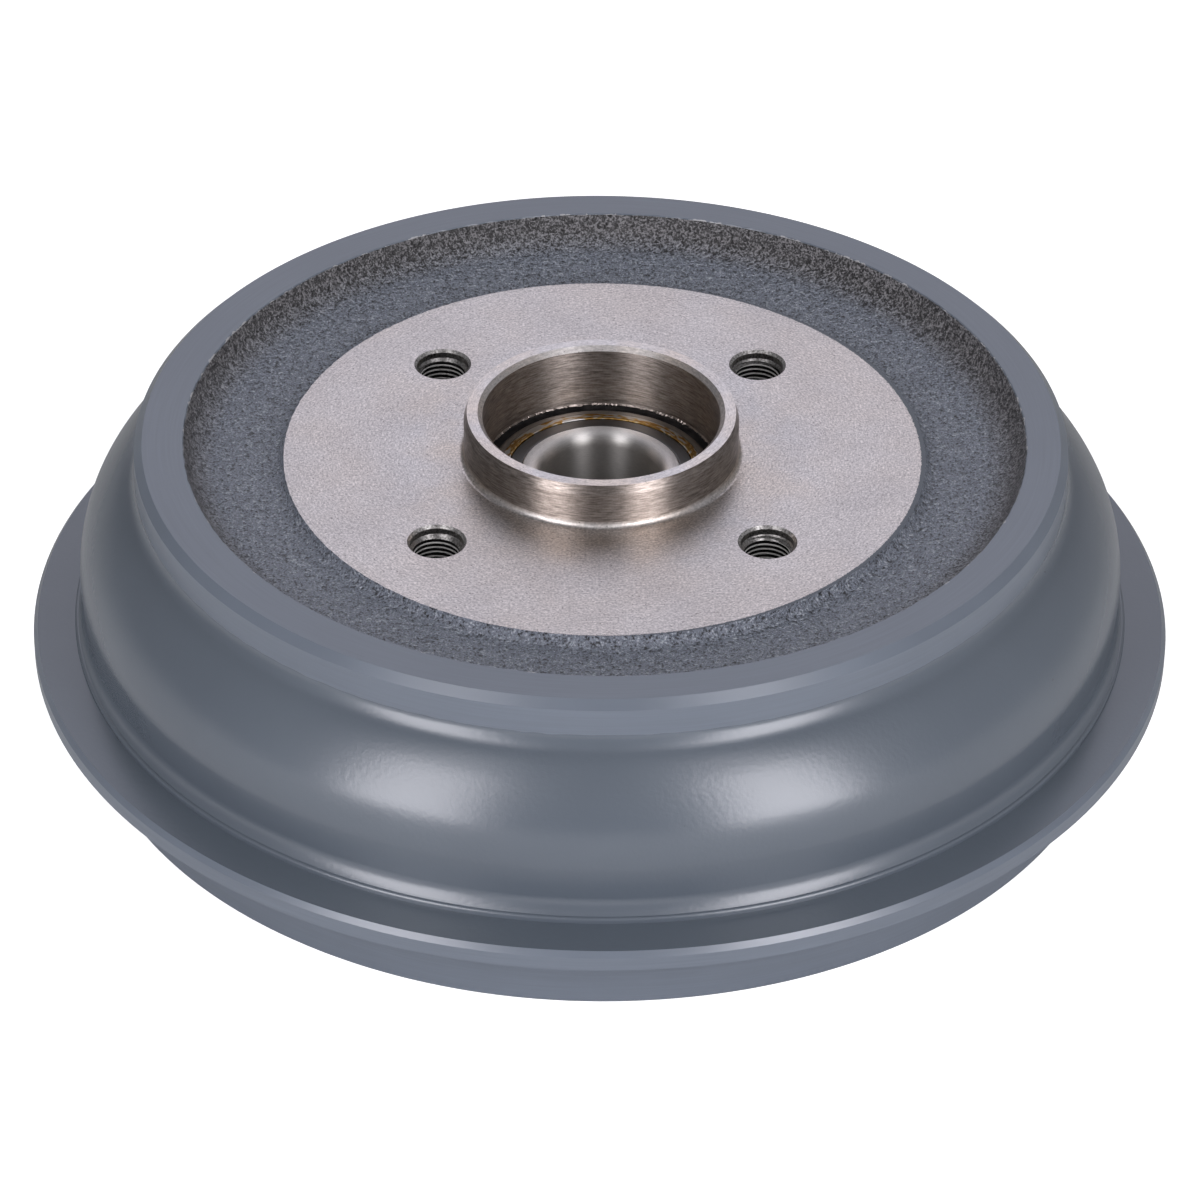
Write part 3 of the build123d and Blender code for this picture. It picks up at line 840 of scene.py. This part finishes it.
def tapped_material():
    """Bright cut iron on the threads, painted black as shade in their roots, with the plain relief above them
    half darkened as painted shade.
    """
    material, tree, shader, place = new_material("tapped_iron", 1.0, 0.3)
    parts = shader_node(tree, "ShaderNodeSeparateXYZ", {0: place})
    hole_offset = bolt_circle_r * math.sqrt(0.5)
    across, along = (
        calculate(tree, "SUBTRACT", calculate(tree, "ABSOLUTE", parts.outputs[name]), hole_offset)
        for name in "XY"
    )
    from_hole = shader_node(tree, "ShaderNodeCombineXYZ", {"X": across, "Y": along, "Z": 0.0})
    hole_place = use_group(tree, axis_place, {"Place": from_hole.outputs[0]})
    torn = noise_texture(tree, place, 2000.0, 3.0)
    bright = ramp(tree, torn[0], [(0.35, (0.22, 0.21, 0.20)), (0.65, (0.70, 0.68, 0.65))])
    # Painted shade in the thread roots.
    painted_root_shade = map_range(tree, hole_place["Radius"], thread_minor_r + 0.04 * MM, thread_minor_r + 0.16 * MM)
    below = calculate(tree, "LESS_THAN", parts.outputs["Z"], -relief_depth - cone_depth)
    painted_root_shade = calculate(tree, "MULTIPLY", painted_root_shade, below)
    # Painted shade: the hole's wall below the chamfer is half darkened.
    painted_hole_shade = map_range(
        tree, parts.outputs["Z"], -hole_chamfer + 0.05 * MM, -hole_chamfer - 0.05 * MM, 0.0, 0.5,
    )
    colour = mixed(tree, painted_hole_shade, bright, (0.05, 0.047, 0.045))
    colour = mixed(tree, below, colour, (0.95, 0.93, 0.90))
    tree.links.new(ramp(tree, below, [(0.0, 0.34), (1.0, 0.62)]), shader.inputs["Roughness"])
    colour = mixed(tree, painted_root_shade, colour, (0.012, 0.011, 0.011))
    tree.links.new(colour, shader.inputs["Base Color"])
    raise_surface(tree, shader, torn[0], 0.03 * MM)
    return material


def ground_steel_material(name, colour, roughness, anisotropy=0.0):
    """Ground bearing steel with faint marks round the axis."""
    material, tree, shader, place = new_material(
        name, 1.0, roughness, **{"Anisotropic": anisotropy, "Anisotropic Rotation": across_the_grooves}
    )
    at = use_group(tree, axis_place, {"Place": place})
    across = calculate(tree, "ADD", at["Height"], at["Radius"])
    marks = use_group(
        tree, tool_marks, {"Across": across, "Place": place, "Pitch": 0.12 * MM, "Streak Length": 5 * MM}
    )
    shade = ramp(tree, marks["Streaks"], [(0.25, 0.86), (0.75, 1.06)])
    tree.links.new(mixed(tree, 1.0, colour, shade, blend="MULTIPLY"), shader.inputs["Base Color"])
    raise_surface(tree, shader, marks["Height"], 0.006 * MM)
    return material


def inner_ring_material():
    """Ground inner ring with marks round it: its face painted bright as painted light, its bore painted
    darker as painted shade.
    """
    material, tree, shader, place = new_material(
        "inner_ring_steel", 1.0, 0.45, **{"Anisotropic": 0.9, "Anisotropic Rotation": across_the_grooves}
    )
    at = use_group(tree, axis_place, {"Place": place})
    across = calculate(tree, "ADD", at["Height"], at["Radius"])
    marks = use_group(
        tree, tool_marks, {"Across": across, "Place": place, "Pitch": 0.15 * MM, "Streak Length": 1.2 * MM}
    )
    # Painted light on the face and painted shade in the bore: one steel, two brightnesses.
    face_light_bore_shade = map_range(tree, at["Radius"], stub_axle_r + 0.2 * MM, stub_axle_r + 1.6 * MM)
    colour = mixed(tree, face_light_bore_shade, (0.55, 0.53, 0.50), (0.97, 0.94, 0.90))
    shade = ramp(tree, marks["Streaks"], [(0.25, 0.84), (0.75, 1.08)])
    tree.links.new(mixed(tree, 1.0, colour, shade, blend="MULTIPLY"), shader.inputs["Base Color"])
    raise_surface(tree, shader, marks["Height"], 0.01 * MM)
    return material


def seal_case_material():
    """Plated seal case: silver, with ragged yellow-brown patches towards the flinger."""
    material, tree, shader, place = new_material("plated_seal_case", 1.0, 0.36)
    at = use_group(tree, axis_place, {"Place": place})
    patches = use_group(
        tree, tool_marks, {"Across": at["Radius"], "Place": place, "Pitch": 1.5 * MM, "Streak Length": 5 * MM}
    )
    inwards = map_range(tree, at["Radius"], bearing_r - 2.0 * MM, bearing_r - 4.4 * MM, -0.12, 0.08)
    shade = calculate(tree, "ADD", patches["Streaks"], inwards)
    dull_silver = (0.58, 0.57, 0.54)
    pale_gold = (0.52, 0.36, 0.14)
    brown = (0.32, 0.16, 0.04)
    deep_gold = (0.52, 0.34, 0.11)
    silver = (0.62, 0.61, 0.58)
    colour = ramp(
        tree, shade,
        [(0.42, dull_silver), (0.48, pale_gold), (0.54, brown), (0.60, deep_gold), (0.64, silver)],
    )
    tree.links.new(colour, shader.inputs["Base Color"])
    raise_surface(tree, shader, patches["Streaks"], 0.10 * MM)
    return material


def outer_ring_material():
    """The outer ring's face: dull grey, with its rounded edge under the burr painted black as shade, and
    rougher there.
    """
    material, tree, shader, place = new_material("outer_ring_steel", 1.0, 0.36)
    at = use_group(tree, axis_place, {"Place": place})
    grain = noise_texture(tree, place, 700.0, 3.0)
    ragged = calculate(tree, "ADD", at["Radius"], calculate(tree, "MULTIPLY", grain[0], 0.5 * MM))
    # Painted shade: the outer edge, under the burr, turns black and matt.
    painted_edge_shade = map_range(tree, ragged, bearing_r - 0.3 * MM, bearing_r + 0.1 * MM)
    tree.links.new(mixed(tree, painted_edge_shade, (0.36, 0.34, 0.315), (0.006, 0.006, 0.006)), shader.inputs["Base Color"])
    tree.links.new(mixed(tree, painted_edge_shade, (0.36, 0.36, 0.36), (0.7, 0.7, 0.7)), shader.inputs["Roughness"])
    raise_surface(tree, shader, grain[0], 0.02 * MM)
    return material


def cage_material():
    """Moulded dark polyamide, matt with fine grain."""
    material, tree, shader, place = new_material("moulded_cage", 0.0, 0.55)
    grain = noise_texture(tree, place, 1500.0, 2.0)
    colour = ramp(tree, grain[0], [(0.3, (0.016, 0.015, 0.014)), (0.7, (0.03, 0.028, 0.026))])
    tree.links.new(colour, shader.inputs["Base Color"])
    raise_surface(tree, shader, grain[0], 0.02 * MM)
    return material


def make_drum():
    """The whole casting, turned, shifted, roughened, drilled and tapped."""
    bm = bmesh.new()
    drum_turnings(bm)
    bmesh.ops.remove_doubles(bm, verts=bm.verts, dist=weld_distance)
    bmesh.ops.recalc_face_normals(bm, faces=bm.faces)
    roughen_channel(bm)
    burr_groove_lip(bm)
    waver_band_step(bm)
    drum = new_object("drum_casting", bm)
    for material in (
        coated_cast_material(), coated_turned_material(), sand_cast_material(),
        turned_face_material(), turned_wall_material(),
        ground_steel_material("friction_surface", (0.50, 0.49, 0.48), 0.35, 0.6), groove_shade_material(),
    ):
        drum.data.materials.append(material)
    tapped = tapped_material()
    cut(drum, tap_cutter(), tapped)
    cut(drum, drill_cutter(), tapped)
    smooth(drum)
    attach(drum, "drum")
    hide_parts("brake_drum")


def finish_bearing():
    """Gives the bearing's own nodes their finishes."""
    finishes = {
        "bearing_outer_ring": outer_ring_material(),
        "inner_ring": inner_ring_material(),
        "cage": cage_material(),
        "seal_case": seal_case_material(),
        "flinger": ground_steel_material("flinger_steel", (0.20, 0.195, 0.19), 0.38),
        "ball": ground_steel_material("ball_steel", (0.70, 0.70, 0.70), 0.06),
    }
    for name, node in frame["nodes"].items():
        for piece_name, material in finishes.items():
            if piece_name in name:
                node.data.materials.clear()
                node.data.materials.append(material)


def bare_material(name):
    """A material whose tree is still empty; returns it with its tree."""
    material = bpy.data.materials.new(name)
    material.use_nodes = True
    material.node_tree.nodes.clear()
    return material, material.node_tree


def tent_cloth():
    """Dim cloth that gets brighter towards the right, as the room behind it does."""
    material, tree = bare_material("tent_cloth")
    place = tree.nodes.new("ShaderNodeTexCoord").outputs["Object"]
    parts = shader_node(tree, "ShaderNodeSeparateXYZ", {0: place})
    strength = map_range(tree, parts.outputs["X"], 0.0, tent_bright_x, tent_dim, tent_bright)
    glow = shader_node(tree, "ShaderNodeEmission", {"Color": tent_colour, "Strength": strength})
    exit_node = tree.nodes.new("ShaderNodeOutputMaterial")
    tree.links.new(glow.outputs[0], exit_node.inputs["Surface"])
    return material


def seen_directly(tree):
    """1 for camera, glossy and transmission rays, 0 for the rays that carry light."""
    path = tree.nodes.new("ShaderNodeLightPath").outputs
    shown = calculate(tree, "MAXIMUM", path["Is Camera Ray"], path["Is Glossy Ray"])
    return calculate(tree, "MAXIMUM", shown, path["Is Transmission Ray"])


def make_floor():
    """A wide pale floor under the open end, which keeps the drum's shadow and has a painted shadow inside the
    mouth.
    """
    floor_size = 6.0
    bm = bmesh.new()
    bmesh.ops.create_grid(bm, x_segments=1, y_segments=1, size=floor_size)
    bmesh.ops.translate(bm, verts=bm.verts, vec=(0, 0, open_end_z - 0.05 * MM))
    floor = new_object("floor", bm)
    material, tree = bare_material("pale_floor")
    path = tree.nodes.new("ShaderNodeLightPath").outputs
    matt = shader_node(
        tree, "ShaderNodeBsdfDiffuse", {"Color": (floor_albedo, floor_albedo, floor_albedo, 1)}
    )
    to_camera = calculate(tree, "MULTIPLY", path["Is Camera Ray"], floor_glow)
    place = tree.nodes.new("ShaderNodeTexCoord").outputs["Object"]
    at = use_group(tree, axis_place, {"Place": place})
    # Painted shadow: the floor glows to the camera only outside the drum's mouth.
    glow_outside_painted_shadow = calculate(tree, "GREATER_THAN", at["Radius"], mouth_r)
    strength = calculate(tree, "MULTIPLY", glow_outside_painted_shadow, to_camera)
    glow = shader_node(tree, "ShaderNodeEmission", {"Color": (1, 1, 1, 1), "Strength": strength})
    both = shader_node(tree, "ShaderNodeAddShader", {0: matt.outputs[0], 1: glow.outputs[0]})
    exit_node = tree.nodes.new("ShaderNodeOutputMaterial")
    tree.links.new(both.outputs[0], exit_node.inputs["Surface"])
    floor.data.materials.append(material)


def make_world():
    """White to the camera, bluish white in reflections, and a weaker even light on the part."""
    world = bpy.data.worlds.new("studio")
    bpy.context.scene.world = world
    world.use_nodes = True
    tree = world.node_tree
    tree.nodes.clear()
    light = shader_node(tree, "ShaderNodeBackground", {"Color": (1, 1, 1, 1), "Strength": ambient_strength})
    camera_ray = tree.nodes.new("ShaderNodeLightPath").outputs["Is Camera Ray"]
    backdrop = mixed(tree, camera_ray, back_wall_colour, (1.0, 1.0, 1.0))
    shown = shader_node(tree, "ShaderNodeBackground", {"Color": backdrop, "Strength": 1.0})
    mix = shader_node(
        tree, "ShaderNodeMixShader", {0: seen_directly(tree), 1: light.outputs[0], 2: shown.outputs[0]}
    )
    exit_node = tree.nodes.new("ShaderNodeOutputWorld")
    tree.links.new(mix.outputs[0], exit_node.inputs["Surface"])


def make_tent():
    """A dark tent round the part, open at the back and below, seen only in reflections."""
    tent_r = 3.2
    back_opening = math.radians(tent_opening_degrees)
    back_top_z = tent_r * math.sin(math.radians(tent_back_top_degrees))
    bm = bmesh.new()
    bmesh.ops.create_uvsphere(bm, u_segments=72, v_segments=36, radius=tent_r)
    away = []
    for face in bm.faces:
        middle = face.calc_center_median()
        azimuth = abs(math.atan2(middle.x, middle.y))
        if middle.z < 0 or (azimuth < back_opening and middle.z < back_top_z):
            away.append(face)
    bmesh.ops.delete(bm, geom=away, context="FACES")
    tent = new_object("dark_tent", bm)
    tent.data.materials.append(tent_cloth())
    tent.visible_camera = False
    tent.visible_diffuse = False
    tent.visible_shadow = False
    tent.visible_transmission = False


def make_softbox(name, azimuth, share, low, high):
    """An upright soft light at an azimuth from the camera's side, between two elevations."""
    bottom = softbox_distance * math.tan(math.radians(low))
    top = softbox_distance * math.tan(math.radians(high))
    light = bpy.data.lights.new(name, "AREA")
    light.shape = "RECTANGLE"
    light.size = softbox_width
    light.size_y = top - bottom
    light.color = softbox_colour
    light.energy = share * softbox_radiance * math.pi * light.size * light.size_y
    lamp = bpy.data.objects.new(name, light)
    lamp.visible_camera = False
    bpy.context.scene.collection.objects.link(lamp)
    turn = Matrix.Rotation(math.radians(azimuth), 4, "Z")
    lamp.matrix_world = (
        turn @ Matrix.Translation((0, -softbox_distance, (top + bottom) / 2))
        @ Matrix.Rotation(math.radians(90), 4, "X")
    )


def make_camera():
    """The photograph's viewpoint: a long lens, looking down on the face at about 35 degrees."""
    bearing = math.radians(-0.62)
    stand_off = 1.0545
    height = 0.6925
    tilt = math.radians(34.898)
    roll = math.radians(0.448)
    sensor_mm = 36
    lens_mm = 159.776
    camera = bpy.data.cameras.new("camera")
    camera.sensor_width = sensor_mm
    camera.lens = lens_mm
    camera.clip_end = 50
    viewer = bpy.data.objects.new("camera", camera)
    bpy.context.scene.collection.objects.link(viewer)
    viewer.matrix_world = (
        Matrix.Rotation(bearing, 4, "Z")
        @ Matrix.Translation((0, -stand_off, height))
        @ Matrix.Rotation(math.radians(90) - tilt, 4, "X")
        @ Matrix.Rotation(roll, 4, "Z")
    )
    bpy.context.scene.camera = viewer


make_camera()
make_world()
make_floor()
make_tent()
for side, azimuth in softbox_azimuths.items():
    share = softbox_shares[side]
    make_softbox(f"softbox_{side}", azimuth, share, softbox_low, softbox_fade)
    make_softbox(
        f"softbox_{side}_top", azimuth, share * softbox_faded_share, softbox_fade, softbox_high
    )

make_drum()
finish_bearing()

bpy.context.scene.view_settings.view_transform = "Standard"
